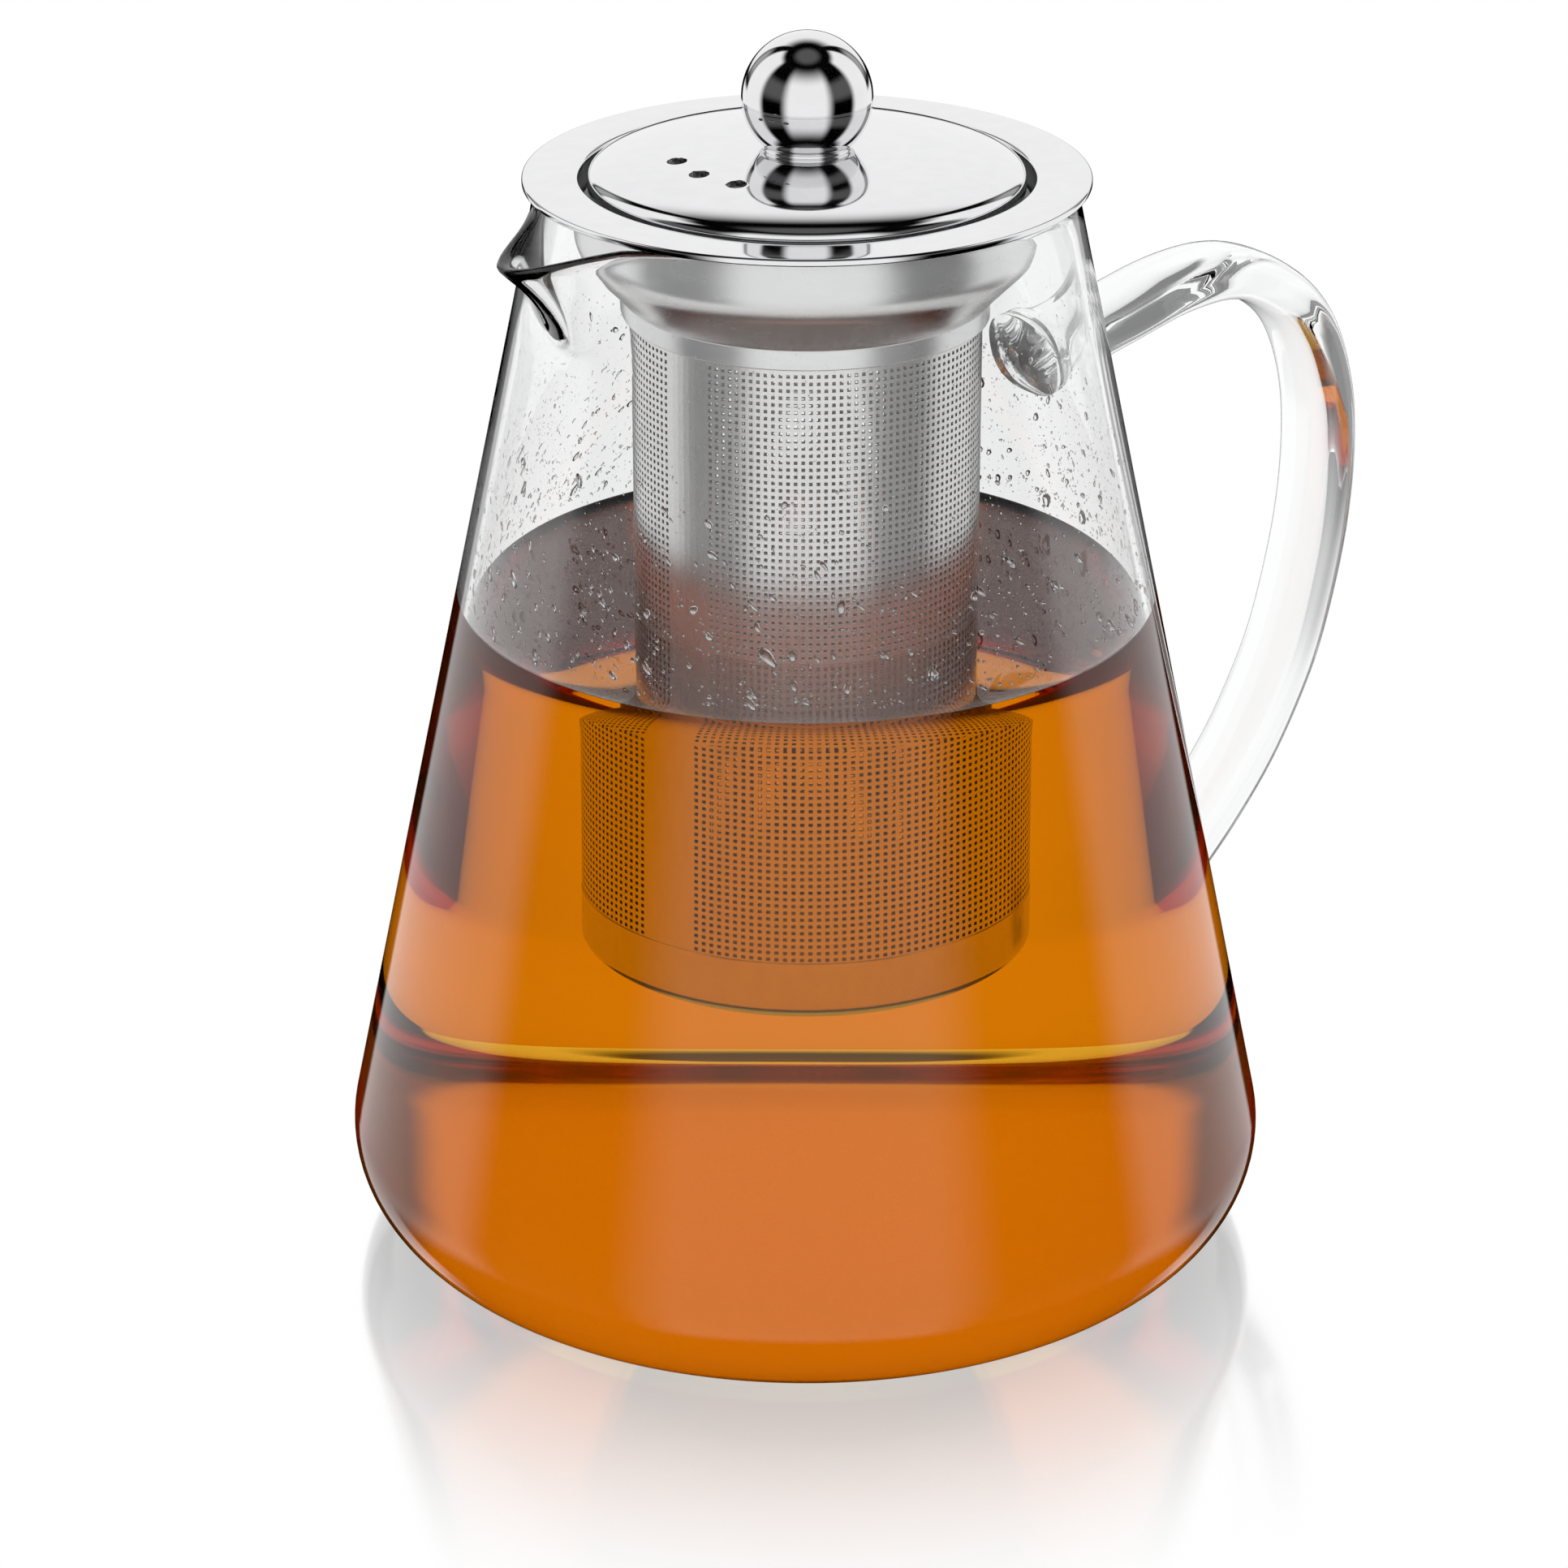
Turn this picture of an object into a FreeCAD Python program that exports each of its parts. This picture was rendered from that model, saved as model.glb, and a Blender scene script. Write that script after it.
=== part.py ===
"""Glass teapot with a steel infuser and a domed lid.

Frame: millimetres, origin on the pot's axis at the plane it stands on, +Z up,
handle towards +X and spout towards -X.
"""
import FreeCAD
import Part
import Sketcher
import math
import os

doc = FreeCAD.newDocument("glass_teapot")

# Driving dimensions: alias, value in millimetres (or degrees), meaning.
DIMENSIONS = [
    ("glass_rim", 157.0, "height of the glass rim"),
    ("glass_foot", 70.1, "cone radius produced down to the standing plane"),
    ("glass_mouth", 36.9, "outer radius at the rim"),
    ("glass_wall", 2.2, "wall thickness"),
    ("glass_floor", 3.5, "thickness of the bottom"),
    ("base_round", 14.7, "outer radius of the rounded lower edge"),
    ("spout_reach", 14.7, "how far the lip stands out from the cone"),
    ("spout_depth", 18.5, "height of the pulled part below the rim"),
    ("spout_width", 10.7, "half-width of the pulled part in degrees"),
    ("spout_edge", 40.0, "half-angle at which the pulled part has died away"),
    ("spout_dip", 13.0, "slope of the lip below the rim, in degrees"),
    ("spout_dip_start", 38.5, "distance from the axis where the lip starts to dip"),
    ("handle_width", 13.0, "width of the glass strap"),
    ("handle_thick", 7.8, "thickness of the glass strap"),
    ("handle_root", 40.0, "radius where the upper root starts, inside the wall"),
    ("handle_root_height", 121.7, "height of that point"),
    ("handle_rise", 12.0, "angle of the upper run above level"),
    ("handle_run", 31.8, "length of the upper run"),
    ("bend_radius", 22.0, "centreline radius over the top"),
    ("bend_end", 114.6, "height where that bend ends"),
    ("grip_radius", 55.0, "centreline radius of the upper grip"),
    ("grip_end", 91.0, "height where the upper grip ends"),
    ("palm_radius", 100.0, "centreline radius of the lower grip"),
    ("palm_end", 67.0, "height where the lower grip ends"),
    ("tail_radius", 42.0, "centreline radius above the lower root"),
    ("tail_end", 53.2, "height where that bend ends"),
    ("tail_root", 60.0, "radius where the lower run ends, inside the wall"),
    ("brim_radius", 39.0, "outer radius of the infuser's brim"),
    ("brim_thick", 1.0, "thickness of the brim"),
    ("brim_round", 0.4, "rounding of the brim's upper edge"),
    ("bowl_mouth", 31.2, "inner radius of the infuser's bowl"),
    ("bowl_sheet", 0.8, "sheet thickness of the bowl"),
    ("bowl_shoulder", 10.0, "depth of the bowl's straight wall below the brim top"),
    ("bowl_round", 6.0, "rounding of the bowl's shoulder"),
    ("bowl_lift", 0.32, "height of the bowl's inner slope above its outer one, at each end"),
    ("neck_radius", 25.3, "outer radius of the neck that holds the tube"),
    ("neck_top", 17.0, "depth of the neck's top below the brim top"),
    ("neck_foot", 19.9, "depth of the neck's lower edge below the brim top"),
    ("tube_radius", 24.3, "outer radius of the infuser tube"),
    ("tube_wall", 0.4, "wall of the infuser tube"),
    ("tube_top", 17.1, "depth of the tube's upper edge below the brim top"),
    ("cup_bottom", 43.1, "height of the underside of the infuser's base cup"),
    ("cup_height", 7.4, "height of the base cup"),
    ("cup_wall", 0.6, "sheet thickness of the base cup"),
    ("cup_round", 2.0, "rounding of the base cup's lower edge"),
    ("cap_radius", 30.0, "outer radius of the lid's cap"),
    ("cap_sheet", 0.8, "sheet thickness of the cap"),
    ("cap_rise", 3.55, "height of the knob's seat above the brim top"),
    ("cap_shoulder", 1.5, "height of the crown's edge above the brim top"),
    ("crown_radius", 18.0, "radius where the crown's slope changes"),
    ("crown_drop", 0.5, "depth of that place below the knob's seat"),
    ("cap_drop", 1.8, "depth of the cap's lower edge below the brim top"),
    ("cap_round", 2.4, "rounding of the cap's edge"),
    ("vent_radius", 1.4, "radius of a steam hole"),
    ("vent_circle", 18.4, "distance of the steam holes from the axis"),
    ("vent_spread", 21.3, "angle between neighbouring steam holes"),
    ("skirt_radius", 28.5, "outer radius of the skirt under the cap"),
    ("skirt_sheet", 0.6, "sheet thickness of the skirt"),
    ("skirt_depth", 12.0, "depth of the skirt's lower edge below the brim top"),
    ("bead_radius", 29.4, "outer radius of the two beads that hold the seal"),
    ("bead_height", 1.0, "height of a bead"),
    ("seal_radius", 30.9, "outer radius of the silicone seal"),
    ("seal_height", 3.0, "height of the seal"),
    ("seal_depth", 7.0, "depth of the seal's underside below the brim top"),
    ("seal_gap", 0.1, "running gap between the seal and the skirt"),
    ("seal_bevel", 0.5, "how far the seal's lower outer corner is cut back"),
    ("seal_bevel_height", 1.0, "height of that cut"),
    ("ball_radius", 9.0, "radius of the ball knob"),
    ("ball_height", 10.6, "height of the ball's centre above the brim top"),
    ("ball_cut", 6.4, "distance from the ball's centre down to its flat"),
    ("neckring_radius", 6.15, "radius of the collar under the ball"),
    ("neckring_waist", 6.0, "radius of that collar half-way up"),
    ("screw_radius", 2.0, "radius of the knob's screw"),
    ("screw_hole", 2.1, "clearance hole for the screw"),
    ("screw_reach", 6.0, "length of screw inside the ball"),
    ("screw_head", 3.9, "radius of the screw's head"),
    ("screw_head_height", 2.4, "height of the screw's head"),
    ("screw_head_round", 0.8, "rounding of the screw's head"),
    ("hole_spare", 0.5, "how far the ball's hole passes the screw's end"),
    ("washer_radius", 4.5, "radius of the washer under the cap"),
    ("washer_thick", 0.8, "thickness of that washer"),
]

sheet = doc.addObject("Spreadsheet::Sheet", "Sizes")
for row, (alias, amount, meaning) in enumerate(DIMENSIONS, start=1):
    sheet.set(f"A{row}", meaning)
    sheet.set(f"B{row}", str(amount))
    sheet.setAlias(f"B{row}", alias)
doc.recompute()

BRIM_TOP = "(Sizes.glass_rim + Sizes.brim_thick)"
CAP_TOP = f"({BRIM_TOP} + Sizes.cap_rise)"
BALL_CENTRE = f"({BRIM_TOP} + Sizes.ball_height)"
BALL_FLAT = f"({BALL_CENTRE} - Sizes.ball_cut)"
V_AXIS = -2
H_AXIS = -1
START = 1
END = 2
CENTRE = 3


def size(expression):
    """Value of an expression over the sheet's cells, in millimetres or degrees."""
    return float(sheet.evalExpression(expression))


def origin_plane(body, role):
    """One of a body's own three origin planes."""
    return next(f for f in body.Origin.OriginFeatures if f.Role == role)


def new_body(name):
    body = doc.addObject("PartDesign::Body", name)
    body.Label = name
    return body


def new_sketch(body, name, role="XZ_Plane"):
    sketch = body.newObject("Sketcher::SketchObject", name)
    sketch.AttachmentSupport = (origin_plane(body, role), [""])
    sketch.MapMode = "FlatFace"
    return sketch


def bind(sketch, constraint, expression):
    """Add a dimension to a sketch and bind it to the sheet."""
    index = sketch.addConstraint(constraint)
    sketch.setExpression(f"Constraints[{index}]", expression)


def place_point(sketch, geometry, end, across, up):
    """Tie a sketch point to two sheet expressions; '0' puts it on an axis."""
    if across == "0":
        sketch.addConstraint(Sketcher.Constraint("PointOnObject", geometry, end, V_AXIS))
    else:
        bind(sketch, Sketcher.Constraint("DistanceX", -1, 1, geometry, end, size(across)), across)
    if up == "0":
        sketch.addConstraint(Sketcher.Constraint("PointOnObject", geometry, end, H_AXIS))
    else:
        bind(sketch, Sketcher.Constraint("DistanceY", -1, 1, geometry, end, size(up)), up)


def polygon(sketch, corners):
    """Closed outline through (across, up) expressions."""
    points = [FreeCAD.Vector(size(across), size(up), 0) for across, up in corners]
    count = len(points)
    lines = []
    for index in range(count):
        lines.append(sketch.addGeometry(Part.LineSegment(points[index], points[(index + 1) % count])))
    for index in range(count):
        following = lines[(index + 1) % count]
        sketch.addConstraint(Sketcher.Constraint("Coincident", lines[index], END, following, START))
    for index, (across, up) in enumerate(corners):
        place_point(sketch, lines[index], START, across, up)
    return lines


def revolved(name, corners):
    """Body turned about Z from an outline of (radius, height) expressions."""
    body = new_body(name)
    sketch = new_sketch(body, f"{name}_outline")
    polygon(sketch, corners)
    turned = body.newObject("PartDesign::Revolution", f"{name}_turned")
    turned.Profile = sketch
    turned.ReferenceAxis = (sketch, ["V_Axis"])
    turned.Angle = 360.0
    sketch.Visibility = False
    doc.recompute()
    return body


def ring_edge(shape, radius, height):
    """Name of the circular edge about Z with this radius and height."""
    for number, edge in enumerate(shape.Edges, start=1):
        curve = edge.Curve
        if not isinstance(curve, Part.Circle):
            continue
        if abs(curve.Radius - radius) < 1e-3 and abs(curve.Center.z - height) < 1e-3:
            return f"Edge{number}"
    raise ValueError(f"no ring of radius {radius} at height {height}")


def round_ring(body, name, radius, height, rounding):
    """Fillet one ring of a turned body; all three are sheet expressions."""
    base = body.Tip
    fillet = body.newObject("PartDesign::Fillet", name)
    fillet.Base = (base, [ring_edge(base.Shape, size(radius), size(height))])
    fillet.Radius = size(rounding)
    fillet.setExpression("Radius", rounding)
    doc.recompute()
    return fillet


# ---------------------------------------------------------------- glass body

def glass_cone(name, inset, floor, top):
    """Solid cone with a rounded foot, inset from the outer surface."""
    mouth = f"Sizes.glass_mouth - {inset}"
    lean = "((Sizes.glass_foot - Sizes.glass_mouth) / Sizes.glass_rim)"
    foot_radius = f"Sizes.glass_foot - {inset} - {lean} * ({floor})"
    top_radius = f"{mouth} - {lean} * ({top} - Sizes.glass_rim)"
    body = revolved(name, [("0", floor), (foot_radius, floor), (top_radius, top), ("0", top)])
    round_ring(body, f"{name}_foot", foot_radius, floor, f"Sizes.base_round - {inset}")
    return body


SPOUT_FADE = 1.4       # power with which the swelling dies away downwards
SPOUT_SECTIONS = 6     # loft intervals from the rim to the swelling's foot
SPOUT_STEPS = 16       # spline intervals on each side of the spout's middle
SPOUT_SINK = 0.25      # keeps the loft under the cone where the swelling has died away


def spout_radius(angle, depth):
    """Distance from the axis of the pulled lip's outer surface.

    angle is measured from the spout's middle in degrees, depth down from the rim.
    """
    lean = (size("Sizes.glass_foot") - size("Sizes.glass_mouth")) / size("Sizes.glass_rim")
    cone = size("Sizes.glass_mouth") + lean * depth
    fade = max(0.0, 1.0 - depth / size("Sizes.spout_depth")) ** SPOUT_FADE
    edge = 1.0 / (1.0 + (size("Sizes.spout_edge") / size("Sizes.spout_width")) ** 2)
    bell = 1.0 / (1.0 + (angle / size("Sizes.spout_width")) ** 2)
    swell = size("Sizes.spout_reach") * fade * (bell - edge) / (1.0 - edge)
    return cone + swell


def inset_spout_radius(angle, depth, wall):
    """The same surface moved inwards by the wall, measured square to it."""
    step = 0.01
    radius = spout_radius(angle, depth)
    around = (spout_radius(angle + step, depth) - radius) / (math.radians(step) * radius)
    down = (spout_radius(angle, depth + step) - radius) / step
    return radius - wall * math.sqrt(1.0 + around ** 2 + down ** 2)


def spout_solid(name, wall, over):
    """Solid bounded by the pulled lip, from below it to a little over the rim."""
    edge = size("Sizes.spout_edge")
    spacing = size("Sizes.spout_depth") / SPOUT_SECTIONS
    depths = [spacing * part for part in range(SPOUT_SECTIONS + 1)]
    if over > 0:
        depths.insert(0, -over)
    wires = []
    for depth in depths:
        points = []
        for part in range(-SPOUT_STEPS, SPOUT_STEPS + 1):
            angle = edge * part / SPOUT_STEPS
            radius = inset_spout_radius(angle, depth, wall) - SPOUT_SINK
            turn = math.radians(180.0 + angle)
            height = size("Sizes.glass_rim") - depth
            points.append(FreeCAD.Vector(radius * math.cos(turn), radius * math.sin(turn), height))
        lip = Part.BSplineCurve()
        lip.interpolate(points)
        wires.append(Part.Wire([lip.toShape(), Part.LineSegment(points[-1], points[0]).toShape()]))
    feature = doc.addObject("Part::Feature", name)
    feature.Label = name
    feature.Shape = Part.makeLoft(wires, True, False)
    return feature


outer_cone = glass_cone("outer_cone", "0", "0", "Sizes.glass_rim")
inner_cone = glass_cone("inner_cone", "Sizes.glass_wall", "Sizes.glass_floor", "Sizes.glass_rim + 1")
spout_outside = spout_solid("spout_outside", 0.0, 0)
spout_inside = spout_solid("spout_inside", size("Sizes.glass_wall"), 1.0)

glass_outside = doc.addObject("Part::MultiFuse", "glass_outside")
glass_outside.Shapes = [outer_cone, spout_outside]
glass_inside = doc.addObject("Part::MultiFuse", "glass_inside")
glass_inside.Shapes = [inner_cone, spout_inside]
glass_shell = doc.addObject("Part::Cut", "glass_shell")
glass_shell.Base = glass_outside
glass_shell.Tool = glass_inside

# The lip slopes down towards its tip: everything over the slope is cut away.
LIP_TOOL = 40.0
lip_slope = doc.addObject("Part::Box", "lip_slope")
lip_slope.Length = LIP_TOOL
lip_slope.Width = LIP_TOOL
lip_slope.Height = LIP_TOOL
dip = FreeCAD.Rotation(FreeCAD.Vector(0, 1, 0), -size("Sizes.spout_dip"))
hinge_point = FreeCAD.Vector(-size("Sizes.spout_dip_start"), 0, size("Sizes.glass_rim"))
corner = hinge_point + dip.multVec(FreeCAD.Vector(-LIP_TOOL, -LIP_TOOL / 2, 0))
lip_slope.Placement = FreeCAD.Placement(corner, dip)

glass_body = doc.addObject("Part::Cut", "glass_body")
glass_body.Label = "glass_body"
glass_body.Base = glass_shell
glass_body.Tool = lip_slope
doc.recompute()


# -------------------------------------------------------------- glass handle

def turn_point(point, heading, radius, height):
    """Centre and end of a clockwise arc that leaves point and stops at height."""
    centre = point + FreeCAD.Vector(math.sin(heading), -math.cos(heading), 0) * radius
    end_heading = -math.acos((height - centre.y) / radius)
    end = centre + FreeCAD.Vector(-math.sin(end_heading), math.cos(end_heading), 0) * radius
    return centre, end, end_heading


def handle_path(body):
    """Centreline in the XZ plane: a run, four tangent arcs and a run."""
    sketch = new_sketch(body, "handle_centreline")
    heading = math.radians(size("Sizes.handle_rise"))
    start = FreeCAD.Vector(size("Sizes.handle_root"), size("Sizes.handle_root_height"), 0)
    point = start + FreeCAD.Vector(math.cos(heading), math.sin(heading), 0) * size("Sizes.handle_run")
    run = sketch.addGeometry(Part.LineSegment(start, point))
    place_point(sketch, run, START, "Sizes.handle_root", "Sizes.handle_root_height")
    bind(sketch, Sketcher.Constraint("Distance", run, size("Sizes.handle_run")), "Sizes.handle_run")
    bind(sketch, Sketcher.Constraint("Angle", run, heading), "Sizes.handle_rise * 1 deg")
    previous = run
    joint = END
    for stretch in ("bend", "grip", "palm", "tail"):
        radius = f"Sizes.{stretch}_radius"
        height = f"Sizes.{stretch}_end"
        centre, end, end_heading = turn_point(point, heading, size(radius), size(height))
        circle = Part.Circle(centre, FreeCAD.Vector(0, 0, 1), size(radius))
        arc = Part.ArcOfCircle(circle, end_heading + math.pi / 2, heading + math.pi / 2)
        following = sketch.addGeometry(arc)
        sketch.addConstraint(Sketcher.Constraint("Tangent", previous, joint, following, END))
        bind(sketch, Sketcher.Constraint("Radius", following, size(radius)), radius)
        bind(sketch, Sketcher.Constraint("DistanceY", -1, 1, following, START, size(height)), height)
        previous = following
        joint = START
        point = end
        heading = end_heading
    reach = (size("Sizes.tail_root") - point.x) / math.cos(heading)
    root = point + FreeCAD.Vector(math.cos(heading), math.sin(heading), 0) * reach
    last = sketch.addGeometry(Part.LineSegment(point, root))
    sketch.addConstraint(Sketcher.Constraint("Tangent", previous, joint, last, START))
    tail = "Sizes.tail_root"
    bind(sketch, Sketcher.Constraint("DistanceX", -1, 1, last, END, size(tail)), tail)
    return sketch


def handle_section(body, path):
    """Flat-sided section with round edges, square to the start of the path."""
    sketch = body.newObject("Sketcher::SketchObject", "handle_section")
    sketch.AttachmentSupport = [(path, "Edge1")]
    sketch.MapMode = "NormalToEdge"
    sketch.MapPathParameter = 0.0
    doc.recompute()
    level = sketch.getGlobalPlacement().Rotation.multVec(FreeCAD.Vector(1, 0, 0))
    wide_along_x = abs(level.y) > 0.5
    radius = size("Sizes.handle_thick") / 2
    half = size("Sizes.handle_width") / 2 - radius
    wide = FreeCAD.Vector(1, 0, 0) if wide_along_x else FreeCAD.Vector(0, 1, 0)
    thick = FreeCAD.Vector(0, 1, 0) if wide_along_x else FreeCAD.Vector(-1, 0, 0)
    turn = 0.0 if wide_along_x else math.pi / 2
    up = FreeCAD.Vector(0, 0, 1)
    right = Part.Circle(wide * half, up, radius)
    left = Part.Circle(wide * -half, up, radius)
    right_arc = sketch.addGeometry(Part.ArcOfCircle(right, turn - math.pi / 2, turn + math.pi / 2))
    top = sketch.addGeometry(Part.LineSegment(wide * half + thick * radius, thick * radius - wide * half))
    left_arc = sketch.addGeometry(Part.ArcOfCircle(left, turn + math.pi / 2, turn + 3 * math.pi / 2))
    base = sketch.addGeometry(Part.LineSegment(thick * -radius - wide * half, wide * half - thick * radius))
    loop = [right_arc, top, left_arc, base]
    for index, piece in enumerate(loop):
        following = loop[(index + 1) % 4]
        sketch.addConstraint(Sketcher.Constraint("Tangent", piece, END, following, START))
    across, along = ("DistanceX", "DistanceY") if wide_along_x else ("DistanceY", "DistanceX")
    spread = "Sizes.handle_width / 2 - Sizes.handle_thick / 2"
    for arc, sign in ((right_arc, ""), (left_arc, "-")):
        offset = f"{sign}({spread})"
        bind(sketch, Sketcher.Constraint(across, -1, 1, arc, CENTRE, size(offset)), offset)
        axis = H_AXIS if wide_along_x else V_AXIS
        sketch.addConstraint(Sketcher.Constraint("PointOnObject", arc, CENTRE, axis))
    thickness = "Sizes.handle_thick / 2"
    bind(sketch, Sketcher.Constraint("Radius", right_arc, size(thickness)), thickness)
    return sketch


strap = new_body("handle_strap")
centreline = handle_path(strap)
doc.recompute()
section = handle_section(strap, centreline)
doc.recompute()
strap_pipe = strap.newObject("PartDesign::AdditivePipe", "strap_pipe")
strap_pipe.Profile = section
strap_pipe.Spine = centreline
doc.recompute()

glass_handle = doc.addObject("Part::Cut", "glass_handle")
glass_handle.Label = "glass_handle"
glass_handle.Base = strap
glass_handle.Tool = outer_cone
doc.recompute()


# ------------------------------------------------------------------- infuser

def below_brim(depth):
    """Height expression of a depth under the brim's top."""
    return f"{BRIM_TOP} - {depth}"


SHOULDER = below_brim("Sizes.bowl_shoulder")
INNER_SHOULDER = f"{SHOULDER} + Sizes.bowl_lift"
NECK_TOP = below_brim("Sizes.neck_top")
BOWL_OUTER = "Sizes.bowl_mouth + Sizes.bowl_sheet"

infuser_collar = revolved("infuser_collar", [
    ("Sizes.bowl_mouth", BRIM_TOP),
    ("Sizes.brim_radius", BRIM_TOP),
    ("Sizes.brim_radius", "Sizes.glass_rim"),
    (BOWL_OUTER, "Sizes.glass_rim"),
    (BOWL_OUTER, SHOULDER),
    ("Sizes.neck_radius", NECK_TOP),
    ("Sizes.neck_radius", below_brim("Sizes.neck_foot")),
    ("Sizes.tube_radius", below_brim("Sizes.neck_foot")),
    ("Sizes.tube_radius", f"{NECK_TOP} + Sizes.bowl_lift"),
    ("Sizes.bowl_mouth", INNER_SHOULDER),
])
round_ring(infuser_collar, "shoulder_outside", BOWL_OUTER, SHOULDER, "Sizes.bowl_round")
round_ring(infuser_collar, "shoulder_inside", "Sizes.bowl_mouth", INNER_SHOULDER,
           "Sizes.bowl_round - Sizes.bowl_sheet")
round_ring(infuser_collar, "mouth_edge", "Sizes.bowl_mouth", BRIM_TOP, "Sizes.bowl_sheet")
round_ring(infuser_collar, "brim_edge", "Sizes.brim_radius", BRIM_TOP, "Sizes.brim_round")

TUBE_INNER = "Sizes.tube_radius - Sizes.tube_wall"
TUBE_FOOT = "Sizes.cup_bottom + 2 * Sizes.cup_round"
infuser_tube = revolved("infuser_tube", [
    (TUBE_INNER, TUBE_FOOT),
    ("Sizes.tube_radius", TUBE_FOOT),
    ("Sizes.tube_radius", below_brim("Sizes.tube_top")),
    (TUBE_INNER, below_brim("Sizes.tube_top")),
])

CUP_OUTER = "Sizes.tube_radius + Sizes.cup_wall"
CUP_FLOOR = "Sizes.cup_bottom + Sizes.cup_wall"
infuser_base = revolved("infuser_base", [
    ("0", "Sizes.cup_bottom"),
    (CUP_OUTER, "Sizes.cup_bottom"),
    (CUP_OUTER, "Sizes.cup_bottom + Sizes.cup_height"),
    ("Sizes.tube_radius", "Sizes.cup_bottom + Sizes.cup_height"),
    ("Sizes.tube_radius", CUP_FLOOR),
    ("0", CUP_FLOOR),
])
round_ring(infuser_base, "cup_outside", CUP_OUTER, "Sizes.cup_bottom", "Sizes.cup_round")
round_ring(infuser_base, "cup_inside", "Sizes.tube_radius", CUP_FLOOR,
           "Sizes.cup_round - Sizes.cup_wall")


# ----------------------------------------------------------------------- lid

def crown_height(lowering):
    """Height expression of the crown's edge, lowered by the sheet or not."""
    return f"{BRIM_TOP} + Sizes.cap_shoulder - {lowering}"


CAP_INNER = "Sizes.cap_radius - Sizes.cap_sheet"
CAP_FOOT = below_brim("Sizes.cap_drop")
SEAT_UNDER = f"{CAP_TOP} - Sizes.cap_sheet"
lid_cap = revolved("lid_cap", [
    ("Sizes.screw_hole", CAP_TOP),
    ("Sizes.neckring_radius", CAP_TOP),
    ("Sizes.crown_radius", f"{CAP_TOP} - Sizes.crown_drop"),
    ("Sizes.cap_radius", crown_height("0")),
    ("Sizes.cap_radius", CAP_FOOT),
    (CAP_INNER, CAP_FOOT),
    (CAP_INNER, crown_height("Sizes.cap_sheet")),
    ("Sizes.crown_radius", f"{SEAT_UNDER} - Sizes.crown_drop"),
    ("Sizes.neckring_radius", SEAT_UNDER),
    ("Sizes.screw_hole", SEAT_UNDER),
])
round_ring(lid_cap, "cap_edge", "Sizes.cap_radius", crown_height("0"), "Sizes.cap_round")
round_ring(lid_cap, "cap_edge_inside", CAP_INNER, crown_height("Sizes.cap_sheet"),
           "Sizes.cap_round - Sizes.cap_sheet")

vents = new_sketch(lid_cap, "vents", "XY_Plane")
for place in (-1, 0, 1):
    turn = math.radians(180.0 + place * size("Sizes.vent_spread"))
    middle = FreeCAD.Vector(math.cos(turn), math.sin(turn), 0) * size("Sizes.vent_circle")
    vent = vents.addGeometry(Part.Circle(middle, FreeCAD.Vector(0, 0, 1), size("Sizes.vent_radius")))
    bind(vents, Sketcher.Constraint("Radius", vent, size("Sizes.vent_radius")), "Sizes.vent_radius")
    angle = f"{place} * Sizes.vent_spread * 1 deg"
    across = f"-Sizes.vent_circle * cos({angle})"
    bind(vents, Sketcher.Constraint("DistanceX", -1, 1, vent, CENTRE, middle.x), across)
    if place == 0:
        vents.addConstraint(Sketcher.Constraint("PointOnObject", vent, CENTRE, H_AXIS))
    else:
        up = f"-Sizes.vent_circle * sin({angle})"
        bind(vents, Sketcher.Constraint("DistanceY", -1, 1, vent, CENTRE, middle.y), up)
solid_cap = lid_cap.Shape.Volume
vent_cut = lid_cap.newObject("PartDesign::Pocket", "vent_cut")
vent_cut.Profile = vents
vent_cut.Type = "ThroughAll"
vent_cut.Reversed = True
vents.Visibility = False
doc.recompute()
if lid_cap.Shape.Volume > solid_cap - 1.0:
    raise RuntimeError("the steam holes cut nothing")

SKIRT_INNER = "Sizes.skirt_radius - Sizes.skirt_sheet"
SEAL_FOOT = below_brim("Sizes.seal_depth")
LOWER_BEAD_TOP = f"{SEAL_FOOT} - Sizes.seal_gap"
UPPER_BEAD_FOOT = f"{SEAL_FOOT} + Sizes.seal_height + Sizes.seal_gap"
lid_skirt = revolved("lid_skirt", [
    (SKIRT_INNER, below_brim("Sizes.skirt_depth")),
    ("Sizes.skirt_radius", below_brim("Sizes.skirt_depth")),
    ("Sizes.skirt_radius", f"{LOWER_BEAD_TOP} - Sizes.bead_height"),
    ("Sizes.bead_radius", f"{LOWER_BEAD_TOP} - Sizes.bead_height"),
    ("Sizes.bead_radius", LOWER_BEAD_TOP),
    ("Sizes.skirt_radius", LOWER_BEAD_TOP),
    ("Sizes.skirt_radius", UPPER_BEAD_FOOT),
    ("Sizes.bead_radius", UPPER_BEAD_FOOT),
    ("Sizes.bead_radius", f"{UPPER_BEAD_FOOT} + Sizes.bead_height"),
    ("Sizes.skirt_radius", f"{UPPER_BEAD_FOOT} + Sizes.bead_height"),
    ("Sizes.skirt_radius", CAP_FOOT),
    (CAP_INNER, CAP_FOOT),
    (CAP_INNER, f"{CAP_FOOT} + Sizes.skirt_sheet"),
    (SKIRT_INNER, f"{CAP_FOOT} + Sizes.skirt_sheet"),
])

lid_seal = revolved("lid_seal", [
    ("Sizes.skirt_radius + Sizes.seal_gap", SEAL_FOOT),
    ("Sizes.seal_radius - Sizes.seal_bevel", SEAL_FOOT),
    ("Sizes.seal_radius", f"{SEAL_FOOT} + Sizes.seal_bevel_height"),
    ("Sizes.seal_radius", f"{SEAL_FOOT} + Sizes.seal_height"),
    ("Sizes.skirt_radius + Sizes.seal_gap", f"{SEAL_FOOT} + Sizes.seal_height"),
])


# ---------------------------------------------------------------------- knob

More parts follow.
